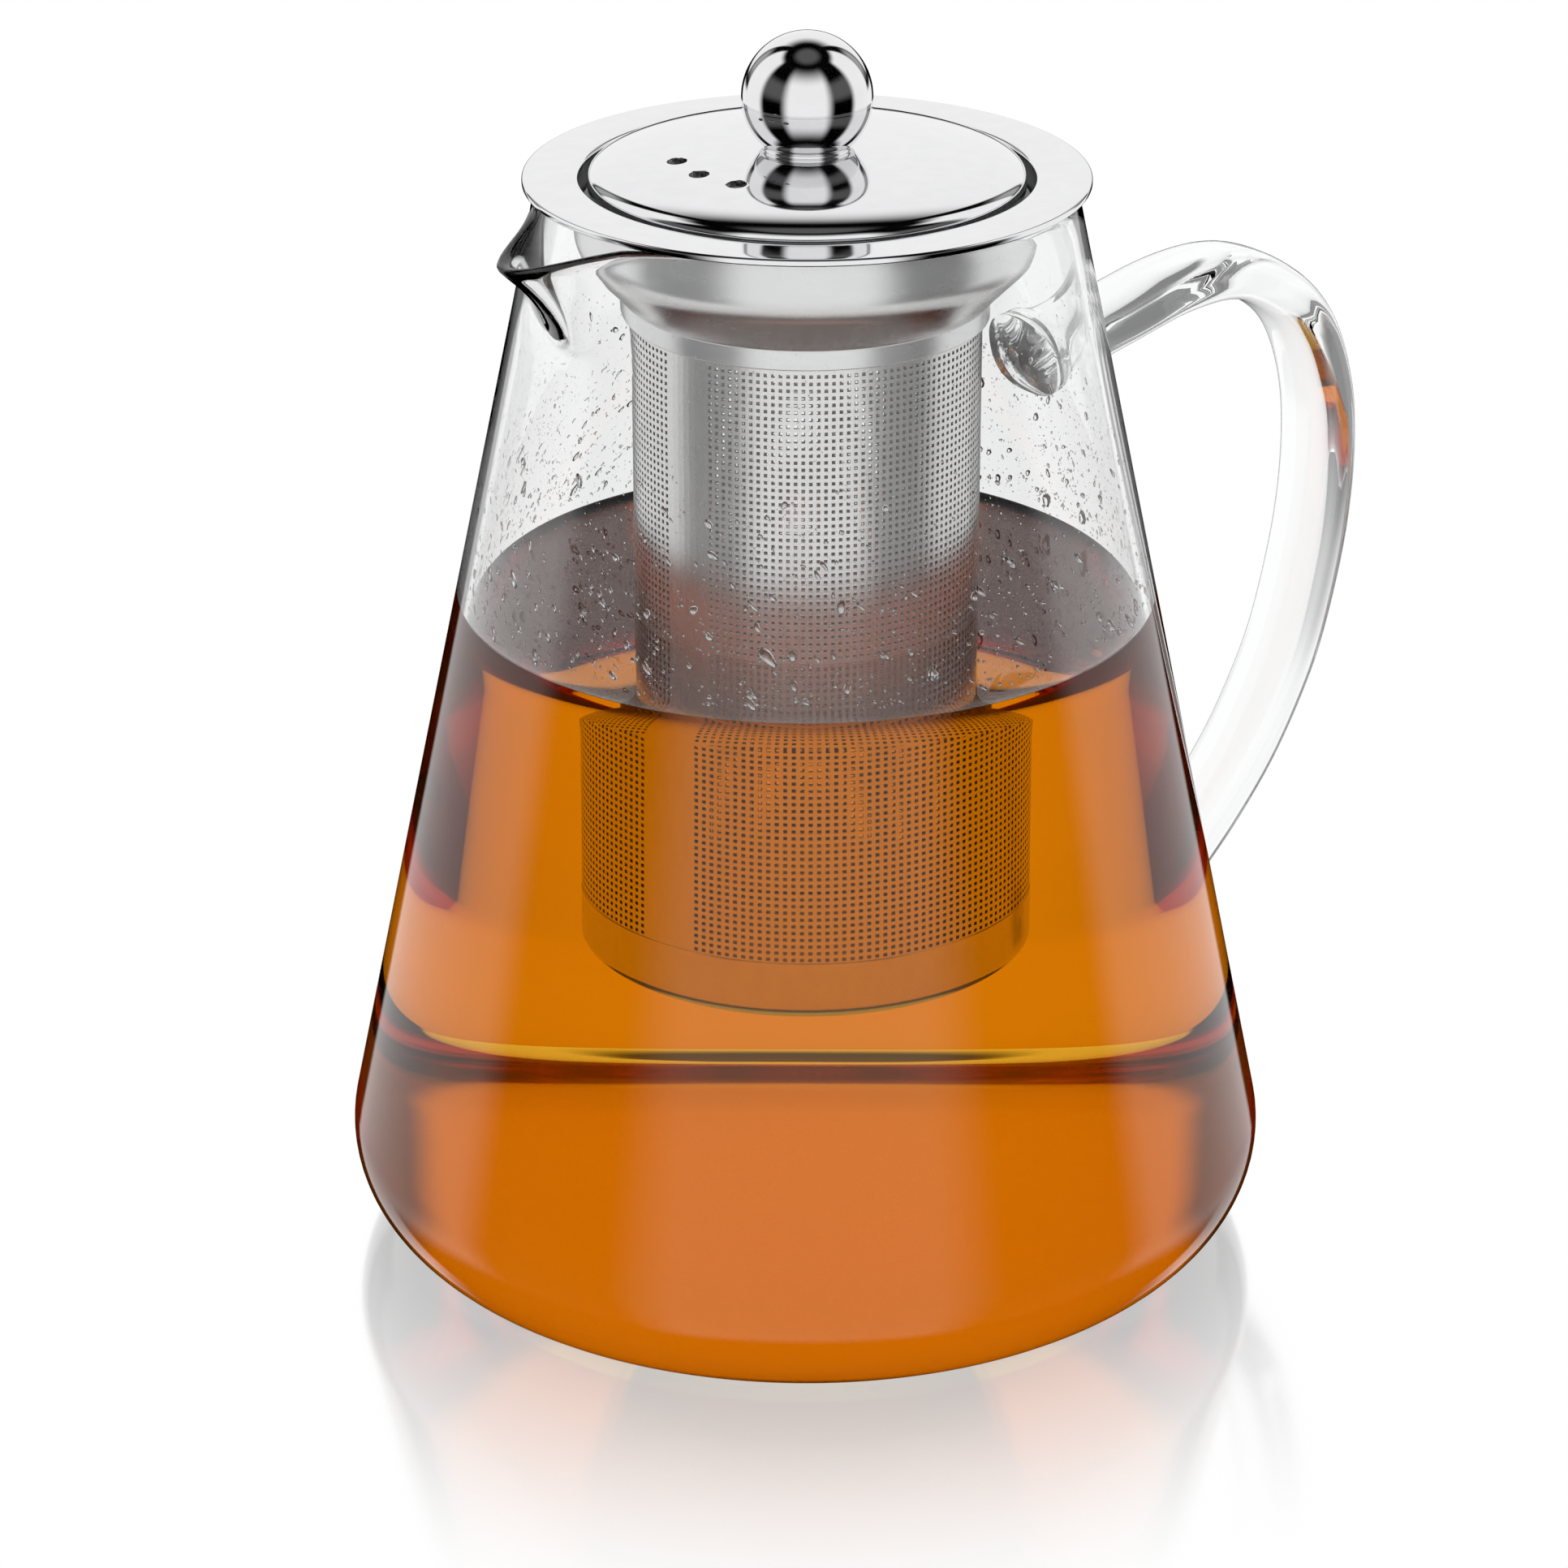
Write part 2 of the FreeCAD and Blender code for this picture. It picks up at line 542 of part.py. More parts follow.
def cylinder(name, radius, height, foot):
    """Part cylinder on the axis, bound to sheet expressions."""
    piece = doc.addObject("Part::Cylinder", name)
    piece.setExpression("Radius", radius)
    piece.setExpression("Height", height)
    piece.setExpression("Placement.Base.z", foot)
    return piece


ball = doc.addObject("Part::Sphere", "ball")
ball.setExpression("Radius", "Sizes.ball_radius")
ball.setExpression("Angle1", "-asin(Sizes.ball_cut / Sizes.ball_radius)")
ball.setExpression("Placement.Base.z", BALL_CENTRE)
ball_hole = cylinder("ball_hole", "Sizes.screw_radius", "Sizes.screw_reach + 2 * Sizes.hole_spare",
                     f"{BALL_FLAT} - Sizes.hole_spare")
knob_ball = doc.addObject("Part::Cut", "knob_ball")
knob_ball.Label = "knob_ball"
knob_ball.Base = ball
knob_ball.Tool = ball_hole

knob_collar = revolved("knob_collar", [
    ("Sizes.screw_hole", CAP_TOP),
    ("Sizes.neckring_radius", CAP_TOP),
    ("Sizes.neckring_waist", f"({CAP_TOP} + {BALL_FLAT}) / 2"),
    ("Sizes.neckring_radius", BALL_FLAT),
    ("Sizes.screw_hole", BALL_FLAT),
])

WASHER_FOOT = f"{SEAT_UNDER} - Sizes.washer_thick"
knob_washer = revolved("knob_washer", [
    ("Sizes.screw_hole", WASHER_FOOT),
    ("Sizes.washer_radius", WASHER_FOOT),
    ("Sizes.washer_radius", SEAT_UNDER),
    ("Sizes.screw_hole", SEAT_UNDER),
])

HEAD_FOOT = f"{WASHER_FOOT} - Sizes.screw_head_height"
knob_screw = revolved("knob_screw", [
    ("0", HEAD_FOOT),
    ("Sizes.screw_head", HEAD_FOOT),
    ("Sizes.screw_head", WASHER_FOOT),
    ("Sizes.screw_radius", WASHER_FOOT),
    ("Sizes.screw_radius", f"{BALL_FLAT} + Sizes.screw_reach"),
    ("0", f"{BALL_FLAT} + Sizes.screw_reach"),
])
round_ring(knob_screw, "head_edge", "Sizes.screw_head", HEAD_FOOT, "Sizes.screw_head_round")
doc.recompute()


# -------------------------------------------------------------------- export

SUB_PARTS = [glass_body, glass_handle, infuser_collar, infuser_tube, infuser_base, lid_seal,
             lid_cap, lid_skirt, knob_ball, knob_collar, knob_washer, knob_screw]

for item in doc.Objects:
    if "Invalid" in item.State or "Error" in item.State:
        raise RuntimeError(f"{item.Name} failed: {item.State}")
for piece in SUB_PARTS:
    if piece.Shape.isNull() or not piece.Shape.isValid():
        raise RuntimeError(f"{piece.Label} has no valid shape")
    if len(piece.Shape.Solids) != 1:
        raise RuntimeError(f"{piece.Label} has {len(piece.Shape.Solids)} solids")

os.makedirs("parts", exist_ok=True)
for piece in SUB_PARTS:
    piece.Shape.exportStep(os.path.join("parts", f"{piece.Label}.step"))
    box = piece.Shape.BoundBox
    print(f"{piece.Label}: {piece.Shape.Volume / 1000:.2f} cm3, z {box.ZMin:.1f} to {box.ZMax:.1f}")
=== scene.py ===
"""Glass teapot with tea, a perforated steel infuser and a domed lid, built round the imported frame."""
import math
import random

import bmesh
import bpy
from mathutils import Euler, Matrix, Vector


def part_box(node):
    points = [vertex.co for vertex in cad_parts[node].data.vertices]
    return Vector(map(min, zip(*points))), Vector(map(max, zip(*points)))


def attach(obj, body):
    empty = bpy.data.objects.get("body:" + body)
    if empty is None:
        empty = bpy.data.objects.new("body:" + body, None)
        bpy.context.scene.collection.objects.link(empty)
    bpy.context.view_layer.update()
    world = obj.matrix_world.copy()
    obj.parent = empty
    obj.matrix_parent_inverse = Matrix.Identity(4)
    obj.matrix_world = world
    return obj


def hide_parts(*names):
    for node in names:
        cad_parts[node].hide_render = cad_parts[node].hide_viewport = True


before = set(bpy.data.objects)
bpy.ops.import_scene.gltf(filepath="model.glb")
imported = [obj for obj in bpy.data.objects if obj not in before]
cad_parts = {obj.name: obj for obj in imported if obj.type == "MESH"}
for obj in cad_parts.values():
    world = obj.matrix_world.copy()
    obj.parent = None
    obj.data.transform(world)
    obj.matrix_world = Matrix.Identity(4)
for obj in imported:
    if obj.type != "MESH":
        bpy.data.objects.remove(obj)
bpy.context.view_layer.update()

MM = 0.001

# All sizes are in millimetres unless a line says otherwise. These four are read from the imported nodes.
BRIM_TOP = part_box("infuser_collar")[1][2] / MM
BRIM_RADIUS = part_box("infuser_collar")[1][0] / MM
TUBE_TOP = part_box("infuser_tube")[1][2] / MM
CUP_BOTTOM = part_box("infuser_base")[0][2] / MM

# The glass is a cone, given by its radius at the rim and at the standing plane, with a lip pulled out of it.
RIM = 157.0
FOOT = 70.1
MOUTH = 36.9
WALL = 2.2
FLOOR_GLASS = 3.5
BASE_ROUND = 14.7
LEAN = (FOOT - MOUTH) / RIM
SPOUT_REACH = 14.7
SPOUT_DEPTH = 18.5
SPOUT_WIDTH = 10.7                            # degrees
SPOUT_EDGE = 40.0                             # degrees
SPOUT_DIP = 13.0                              # degrees
SPOUT_DIP_START = 38.5
SPOUT_FADE = 1.4

TEA_LEVEL = 95.4
OVERLAP = 0.12                                # tea reaches this far into the glass, so no air shows between
AROUND = 384                                  # corners around the glass and the tea
FINE_AROUND = 256                             # corners around the larger steel pieces
GLASS_STEP = 2.5                              # longest stretch of outline between two rings of the glass


# ------------------------------------------------------------------ mesh help

def piece_from(name, verts, faces, body, material, replaced=(), smooth=True):
    """Mesh object from millimetre points that rides on a body and stands for CAD nodes."""
    mesh = bpy.data.meshes.new(name)
    mesh.from_pydata([tuple(c * MM for c in v) for v in verts], [], faces)
    mesh.validate()
    work = bmesh.new()
    work.from_mesh(mesh)
    bmesh.ops.recalc_face_normals(work, faces=work.faces)
    work.to_mesh(mesh)
    work.free()
    if smooth:
        mesh.shade_smooth()
    else:
        mesh.shade_flat()
    piece = bpy.data.objects.new(name, mesh)
    bpy.context.collection.objects.link(piece)
    finish_piece(piece, body, material, replaced)
    return piece


def finish_piece(piece, body, material, replaced=()):
    """Gives a piece its material, its body and the CAD nodes that it stands for."""
    piece.data.materials.clear()
    piece.data.materials.append(material)
    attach(piece, body)
    if replaced:
        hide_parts(*replaced)


def rounded(corners, steps=8):
    """Outline through (radius, height, rounding) corners with each corner rounded by an arc."""
    outline = []
    count = len(corners)
    for index, (r, z, rounding) in enumerate(corners):
        here = Vector((r, z))
        if rounding <= 0:
            outline.append((r, z))
            continue
        before = Vector(corners[index - 1][:2]) - here
        after = Vector(corners[(index + 1) % count][:2]) - here
        u = before.normalized()
        v = after.normalized()
        half = u.angle(v) / 2
        reach = rounding / math.tan(half)
        centre = here + (u + v).normalized() * (rounding / math.sin(half))
        first = here + u * reach - centre
        last = here + v * reach - centre
        sweep = first.angle(last)
        for step in range(steps + 1):
            share = step / steps
            ray = first * math.sin((1 - share) * sweep) + last * math.sin(share * sweep)
            ray = ray / math.sin(sweep)
            outline.append((centre.x + ray.x, centre.y + ray.y))
    return outline


def densify(outline, longest):
    """Adds points so that no stretch of an open outline is longer than that."""
    dense = [outline[0]]
    for start, end in zip(outline, outline[1:]):
        parts = max(1, math.ceil(math.dist(start, end) / longest))
        for part in range(1, parts + 1):
            share = part / parts
            dense.append((start[0] + (end[0] - start[0]) * share, start[1] + (end[1] - start[1]) * share))
    return dense


ON_AXIS = 1e-6


def lathe(outline, around=AROUND, closed=True, place=None):
    """Vertices and quads of an outline turned about Z; points at radius 0 become one pole."""
    verts = []
    rings = []
    for r, z in outline:
        if r < ON_AXIS:
            verts.append((0.0, 0.0, z))
            rings.append([len(verts) - 1] * around)
            continue
        ring = []
        for step in range(around):
            angle = 2 * math.pi * step / around
            spot = place(angle, r, z) if place else (r * math.cos(angle), r * math.sin(angle), z)
            verts.append(spot)
            ring.append(len(verts) - 1)
        rings.append(ring)
    faces = []
    pairs = list(zip(rings, rings[1:]))
    if closed:
        pairs.append((rings[-1], rings[0]))
    for low, high in pairs:
        for step in range(around):
            following = (step + 1) % around
            corners = [low[step], low[following], high[following], high[step]]
            face = list(dict.fromkeys(corners))
            if len(face) > 2:
                faces.append(face)
    return verts, faces


# ------------------------------------------------------------------ materials

def material(name):
    """New material with its node tree and shader."""
    made = bpy.data.materials.new(name)
    made.use_nodes = True
    return made, made.node_tree, made.node_tree.nodes["Principled BSDF"]


def noise(tree, scale, detail=2.0, stretch=(1, 1, 1)):
    """Object-space noise; scale is in features per metre."""
    place = tree.nodes.new("ShaderNodeTexCoord")
    mapping = tree.nodes.new("ShaderNodeMapping")
    mapping.inputs["Scale"].default_value = stretch
    texture = tree.nodes.new("ShaderNodeTexNoise")
    texture.inputs["Scale"].default_value = scale
    texture.inputs["Detail"].default_value = detail
    tree.links.new(place.outputs["Object"], mapping.inputs["Vector"])
    tree.links.new(mapping.outputs["Vector"], texture.inputs["Vector"])
    return texture


def bump(tree, shader, height, distance, strength=1.0):
    node = tree.nodes.new("ShaderNodeBump")
    node.inputs["Distance"].default_value = distance
    node.inputs["Strength"].default_value = strength
    tree.links.new(height, node.inputs["Height"])
    tree.links.new(node.outputs["Normal"], shader.inputs["Normal"])


NOISE_LOW = 0.3
NOISE_HIGH = 0.7


def spread(tree, value, low, high):
    """Maps the range that noise mostly keeps to onto another one."""
    node = tree.nodes.new("ShaderNodeMapRange")
    node.inputs["From Min"].default_value = NOISE_LOW
    node.inputs["From Max"].default_value = NOISE_HIGH
    node.inputs["To Min"].default_value = low
    node.inputs["To Max"].default_value = high
    tree.links.new(value, node.inputs["Value"])
    return node.outputs["Result"]


def ramp(tree, value, stops):
    """Colour ramp through (position, colour) stops."""
    node = tree.nodes.new("ShaderNodeValToRGB")
    while len(node.color_ramp.elements) < len(stops):
        node.color_ramp.elements.new(0.5)
    for element, (position, colour) in zip(node.color_ramp.elements, stops):
        element.position = position
        element.color = (*colour, 1.0)
    tree.links.new(value, node.inputs["Fac"])
    return node.outputs["Color"]


GLASS_IOR = 1.47
TEA_IOR = 1.31                                # a little under water's, for the look of the tube in it
WATER_IOR = 1.333


def clear_glass(name, reflection, waviness):
    """Glass. reflection 0 is for a wall with liquid against it, which mirrors next to nothing head on."""
    made, tree, shader = material(name)
    shader.inputs["Base Color"].default_value = (0.985, 0.99, 0.99, 1.0)
    shader.inputs["Roughness"].default_value = 0.0
    shader.inputs["IOR"].default_value = GLASS_IOR
    shader.inputs["Transmission Weight"].default_value = 1.0
    shader.inputs["Specular Tint"].default_value = (reflection, reflection, reflection, 1.0)
    waves = noise(tree, 22.0, 1.0, (1.0, 1.0, 0.5))
    bump(tree, shader, waves.outputs["Fac"], waviness)
    return made


def tea_liquor(name, thin, thick, reflection):
    """Tea whose colour drifts a little between two strengths."""
    made, tree, shader = material(name)
    shader.inputs["Roughness"].default_value = 0.0
    shader.inputs["IOR"].default_value = TEA_IOR
    shader.inputs["Transmission Weight"].default_value = 1.0
    shader.inputs["Specular Tint"].default_value = (reflection, reflection, reflection, 1.0)
    cloud = noise(tree, 9.0, 2.0, (1.0, 1.0, 1.6))
    colour = ramp(tree, cloud.outputs["Fac"], [(0.25, thin), (0.75, thick)])
    tree.links.new(colour, shader.inputs["Base Color"])
    return made


def water():
    """Condensed water."""
    made, tree, shader = material("condensation")
    shader.inputs["Base Color"].default_value = (1.0, 1.0, 1.0, 1.0)
    shader.inputs["Roughness"].default_value = 0.0
    shader.inputs["IOR"].default_value = WATER_IOR
    shader.inputs["Transmission Weight"].default_value = 1.0
    skin = noise(tree, 900.0, 1.0)
    bump(tree, shader, skin.outputs["Fac"], 0.00004)
    return made


BRIGHTEST = 1.04                              # how much brighter than its colour steel gets in places


def steel(name, colour, low, high, scale, stretch, depth):
    """Stainless steel whose colour, roughness (low to high) and skin follow the same stretched noise."""
    made, tree, shader = material(name)
    shader.inputs["Metallic"].default_value = 1.0
    grain = noise(tree, scale, 4.0, stretch)
    bright = tuple(min(1.0, c * BRIGHTEST) for c in colour)
    tint = ramp(tree, grain.outputs["Fac"], [(NOISE_LOW, colour), (NOISE_HIGH, bright)])
    tree.links.new(tint, shader.inputs["Base Color"])
    tree.links.new(spread(tree, grain.outputs["Fac"], low, high), shader.inputs["Roughness"])
    bump(tree, shader, grain.outputs["Fac"], depth)
    return made


def silicone():
    """Translucent silicone rubber."""
    made, tree, shader = material("silicone")
    cloud = noise(tree, 120.0, 3.0)
    stops = [(NOISE_LOW, (0.80, 0.80, 0.77)), (NOISE_HIGH, (0.86, 0.86, 0.83))]
    colour = ramp(tree, cloud.outputs["Fac"], stops)
    tree.links.new(colour, shader.inputs["Base Color"])
    shader.inputs["Subsurface Weight"].default_value = 0.3
    shader.inputs["Subsurface Scale"].default_value = 0.002
    tree.links.new(spread(tree, cloud.outputs["Fac"], 0.4, 0.55), shader.inputs["Roughness"])
    bump(tree, shader, cloud.outputs["Fac"], 0.00005)
    return made


GLASS = clear_glass("clear_glass", 1.0, 0.00018)
WET_GLASS = clear_glass("wet_glass", 0.0, 0.00018)
STRAP_GLASS = clear_glass("strap_glass", 1.0, 0.00003)
TEA_SIDE = tea_liquor("tea_side", (0.72, 0.205, 0.001), (0.68, 0.18, 0.001), 0.0)
# The tea's top surface gets a darker, mauve tint: painted shade on the surface, not a colour of the tea.
TEA_TOP_SHADE = tea_liquor("tea_top_painted_shade", (0.42, 0.16, 0.13), (0.36, 0.14, 0.12), 1.0)
TEA_BOTTOM = tea_liquor("tea_bottom", (0.97, 0.84, 0.58), (0.97, 0.80, 0.52), 0.0)
WATER = water()
MIRROR = steel("polished_steel", (0.80, 0.80, 0.81), 0.05, 0.07, 350.0, (1, 1, 1), 0.000001)
SATIN = steel("satin_steel", (0.78, 0.775, 0.77), 0.26, 0.29, 700.0, (1, 1, 0.3), 0.000002)
STEEPED = steel("steeped_steel", (0.74, 0.74, 0.74), 0.22, 0.25, 700.0, (1, 1, 0.3), 0.000001)
# Dark grey for the inside of the lower screen: painted shade inside the tube, not a stain on the steel.
INSIDE_SHADE_STEEL = steel("painted_shade_steel", (0.22, 0.21, 0.20), 0.30, 0.40, 700.0, (1, 1, 0.3), 0.000001)
TURNED = steel("turned_steel", (0.78, 0.78, 0.78), 0.24, 0.28, 700.0, (0.3, 0.3, 1), 0.000002)
SILICONE = silicone()


# ----------------------------------------------------------------- glass body

def swell(angle, depth):
    """How far the pulled lip stands out from the cone at an angle from its middle, in degrees."""
    if abs(angle) > SPOUT_EDGE or depth > SPOUT_DEPTH:
        return 0.0
    fade = max(0.0, 1.0 - max(0.0, depth) / SPOUT_DEPTH) ** SPOUT_FADE
    edge = 1.0 / (1.0 + (SPOUT_EDGE / SPOUT_WIDTH) ** 2)
    bell = 1.0 / (1.0 + (angle / SPOUT_WIDTH) ** 2)
    return SPOUT_REACH * fade * (bell - edge) / (1.0 - edge)


def lip_place(angle, r, z):
    """Moves a point of the plain cone out to the pulled lip and down along its sloping edge."""
    off = math.degrees(angle) % 360.0 - 180.0
    depth = RIM - z
    out = r + swell(off, depth)
    x = out * math.cos(angle)
    y = out * math.sin(angle)
    past = max(0.0, -x - SPOUT_DIP_START)
    share = max(0.0, 1.0 - depth / SPOUT_DEPTH)
    return x, y, z - past * math.tan(math.radians(SPOUT_DIP)) * share


FOOT_STEPS = 24
RIM_STEPS = 8


def cavity_outline(inset, floor, top, rounding):
    """Cone outline from the axis at the floor up to the top, moved in by inset."""
    foot = FOOT - inset - LEAN * floor
    head = MOUTH - inset - LEAN * (top - RIM)
    corners = [(0.0, floor, 0.0), (foot, floor, rounding), (head, top, 0.0)]
    return rounded(corners, FOOT_STEPS)


def glass_outline():
    """Outline of the glass from the axis outside to the rounded rim and back inside to the axis."""
    outside = densify(cavity_outline(0.0, 0.0, RIM, BASE_ROUND), GLASS_STEP)
    inside = densify(cavity_outline(WALL, FLOOR_GLASS, RIM, BASE_ROUND - WALL), GLASS_STEP)
    half = WALL / 2
    edge = []
    for step in range(1, RIM_STEPS):
        turn = math.pi * step / RIM_STEPS
        edge.append((MOUTH - half + half * math.cos(turn), RIM - half + half * math.sin(turn)))
    outside = [p for p in outside if p[1] < RIM - half]
    inside = [p for p in inside if p[1] < RIM - half]
    return outside + edge + inside[::-1]


def paint_rings(piece, outline, choose_slot):
    """Gives each band of a turned piece the material slot that its place in the outline asks for."""
    for face in piece.data.polygons:
        ring = face.index // AROUND
        height = (outline[ring][1] + outline[ring + 1][1]) / 2
        face.material_index = choose_slot(ring, height)


def highest(outline):
    """Number of an outline's highest point."""
    return max(range(len(outline)), key=lambda number: outline[number][1])


pot_outline = glass_outline()
rim_ring = highest(pot_outline)


def wetted_slot(ring, height):
    """1 where tea stands against the inside of the glass."""
    return 1 if ring > rim_ring and height < TEA_LEVEL else 0


verts, faces = lathe(pot_outline, closed=False, place=lip_place)
glass = piece_from("glass_pot", verts, faces, "carafe", GLASS, ["glass_body"])
glass.data.materials.append(WET_GLASS)
paint_rings(glass, pot_outline, wetted_slot)


# ----------------------------------------------------------------------- tea

MENISCUS_CLIMB = 1.3
MENISCUS_CREEP = 1.5
MENISCUS_WIDTH = 6.0
MENISCUS_STEPS = 24
BOTTOM_BAND = 0.4                             # height of the tea's lower edge that counts as its bottom


def tea_outline():
    """Outline of the tea from the axis at the bottom, up the wall and in over the meniscus."""
    inner = cavity_outline(WALL - OVERLAP, FLOOR_GLASS - OVERLAP, TEA_LEVEL, BASE_ROUND - WALL + OVERLAP)
    side = densify(inner, GLASS_STEP)
    wall = side[-1][0]
    top = []
    for step in range(MENISCUS_STEPS + 1):
        inwards = MENISCUS_WIDTH * step / MENISCUS_STEPS
        top.append((wall - inwards, TEA_LEVEL + MENISCUS_CLIMB * math.exp(-inwards / MENISCUS_CREEP)))
    return side[:-1] + top + [(0.0, TEA_LEVEL)]


liquor_outline = tea_outline()
wall_ring = highest(liquor_outline)


def tea_slot(ring, height):
    """0 on the tea's side, 1 on its surface and 2 on its bottom."""
    if ring >= wall_ring:
        return 1
    return 2 if height < FLOOR_GLASS + BOTTOM_BAND else 0


verts, faces = lathe(liquor_outline, closed=False)
tea = piece_from("tea", verts, faces, "carafe", TEA_SIDE)
# The surface slot carries the tea's painted shade.
tea.data.materials.append(TEA_TOP_SHADE)
tea.data.materials.append(TEA_BOTTOM)
paint_rings(tea, liquor_outline, tea_slot)


# -------------------------------------------------------------------- handle

# Centreline points as (distance from the pot's axis, height), from the upper root to the lower one.
HANDLE_LINE = [
    (40.5, 123.2), (46.0, 124.2), (55.4, 125.9), (66.5, 128.3), (76.1, 128.7), (83.4, 126.6), (90.6, 121.6),
    (95.2, 115.2), (98.2, 106.5), (99.2, 97.7), (98.9, 88.5), (97.4, 79.0), (94.3, 67.5), (90.5, 58.9),
    (85.0, 49.8), (78.0, 41.4), (71.0, 34.6), (66.5, 30.4), (62.5, 26.7)]
HANDLE_WIDTH = 13.0
HANDLE_THICK = 7.8
HANDLE_AROUND = 48
LINE_PARTS = 8
FLARE_START = 4.5                             # the roots are widest up to this far from the strap's ends
FLARE_LENGTH = 3.2
UPPER_FLARE = 0.30
LOWER_FLARE = 0.16
FLARE_WIDE = 0.6
FLARE_THICK = 1.6
FLATNESS_WIDE = 0.72                          # powers of a superellipse; 1 would be an ellipse
FLATNESS_THICK = 0.86


def smooth_line(points, parts):
    """Points along a Catmull-Rom curve."""
    ends = [Vector(points[0]) * 2 - Vector(points[1])] + [Vector(p) for p in points]
    ends.append(Vector(points[-1]) * 2 - Vector(points[-2]))
    line = []
    for index in range(1, len(ends) - 2):
        a, b, c, d = ends[index - 1:index + 3]
        for part in range(parts):
            t = part / parts
            line.append(0.5 * ((2 * b) + (c - a) * t + (2 * a - 5 * b + 4 * c - d) * t ** 2
                               + (3 * b - a - 3 * c + d) * t ** 3))
    line.append(ends[-2])
    return line


def strap():
    """Solid strap along the centreline that flares where it is fused to the body."""
    line = smooth_line(HANDLE_LINE, LINE_PARTS)
    count = len(line)
    around = HANDLE_AROUND
    lengths = [0.0]
    for start, end in zip(line, line[1:]):
        lengths.append(lengths[-1] + (end - start).length)
    whole = lengths[-1]
    verts = []
    for index, middle in enumerate(line):
        ahead = line[min(index + 1, count - 1)] - line[max(index - 1, 0)]
        ahead.normalize()
        across = Vector((-ahead.y, ahead.x))
        near = min(lengths[index], whole - lengths[index])
        root = UPPER_FLARE if lengths[index] < whole / 2 else LOWER_FLARE
        flare = math.exp(-max(0.0, near - FLARE_START) / FLARE_LENGTH) * root
        wide = HANDLE_WIDTH / 2 * (1 + flare * FLARE_WIDE)
        thick = HANDLE_THICK / 2 * (1 + flare * FLARE_THICK)
        for step in range(around):
            turn = 2 * math.pi * step / around
            c = math.cos(turn)
            s = math.sin(turn)
            side = wide * math.copysign(abs(c) ** FLATNESS_WIDE, c)
            rise = thick * math.copysign(abs(s) ** FLATNESS_THICK, s)
            spot = middle + across * rise
            verts.append((spot.x, side, spot.y))
    faces = []
    for ring in range(count - 1):
        for step in range(around):
            following = (step + 1) % around
            a = ring * around
            b = a + around
            faces.append((a + step, a + following, b + following, b + step))
    for ring in (0, count - 1):
        loop = [ring * around + step for step in range(around)]
        middle = line[ring]
        verts.append((middle.x, 0.0, middle.y))
        for step in range(around):
            faces.append((loop[step], loop[(step + 1) % around], len(verts) - 1))
    return verts, faces


verts, faces = strap()
piece_from("glass_strap", verts, faces, "carafe", STRAP_GLASS, ["glass_handle"])


# ------------------------------------------------------------------- infuser

BRIM_THICK = 1.0
BOWL_IN = 31.2
BOWL_OUT = 32.0
NECK_OUT = 25.3
NECK_IN = 24.35
NECK_FOOT = BRIM_TOP - 19.9
STEEL_STEP = 2.0                              # longest stretch of outline between two rings of the steel
POLISHED_TO = BRIM_TOP - 1.3                  # the brim is polished down to here, and the rest is turned

collar = rounded([
    (BOWL_IN, BRIM_TOP, 0.8), (BRIM_RADIUS, BRIM_TOP, 0.45),
    (BRIM_RADIUS, BRIM_TOP - BRIM_THICK, 0.3), (BOWL_OUT, BRIM_TOP - BRIM_THICK, 0.0),
    (BOWL_OUT, BRIM_TOP - 10.0, 6.0), (NECK_OUT, BRIM_TOP - 17.0, 0.6),
    (NECK_OUT, NECK_FOOT, 0.25), (NECK_IN, NECK_FOOT, 0.0),
    (NECK_IN, BRIM_TOP - 16.7, 0.0), (BOWL_IN, BRIM_TOP - 9.7, 5.2)], 10)
verts, faces = lathe(densify(collar + collar[:1], STEEL_STEP)[:-1], FINE_AROUND)
bowl = piece_from("infuser_bowl", verts, faces, "infuser", MIRROR, ["infuser_collar"])
bowl.data.materials.append(TURNED)
for face in bowl.data.polygons:
    face.material_index = 1 if face.center.z < POLISHED_TO * MM else 0

TUBE_OUT = 24.3
TUBE_IN = 23.9
COLUMNS = 150
SEAM_COLUMNS = 7                              # columns without holes along the welded seam
PITCH = 1.02
HOLE = 0.25                                   # half the side of a square hole
CELL_LINES = (0.0, 0.5 - HOLE / PITCH, 0.5 + HOLE / PITCH)
HOLE_CORNERS = ((1, 1), (2, 1), (2, 2), (1, 2))
SCREEN_TOP = BRIM_TOP - 20.5
SCREEN_ROWS = 84
SCREEN_FOOT = SCREEN_TOP - SCREEN_ROWS * PITCH
SEAM_AZIMUTH = -171.0                         # degrees


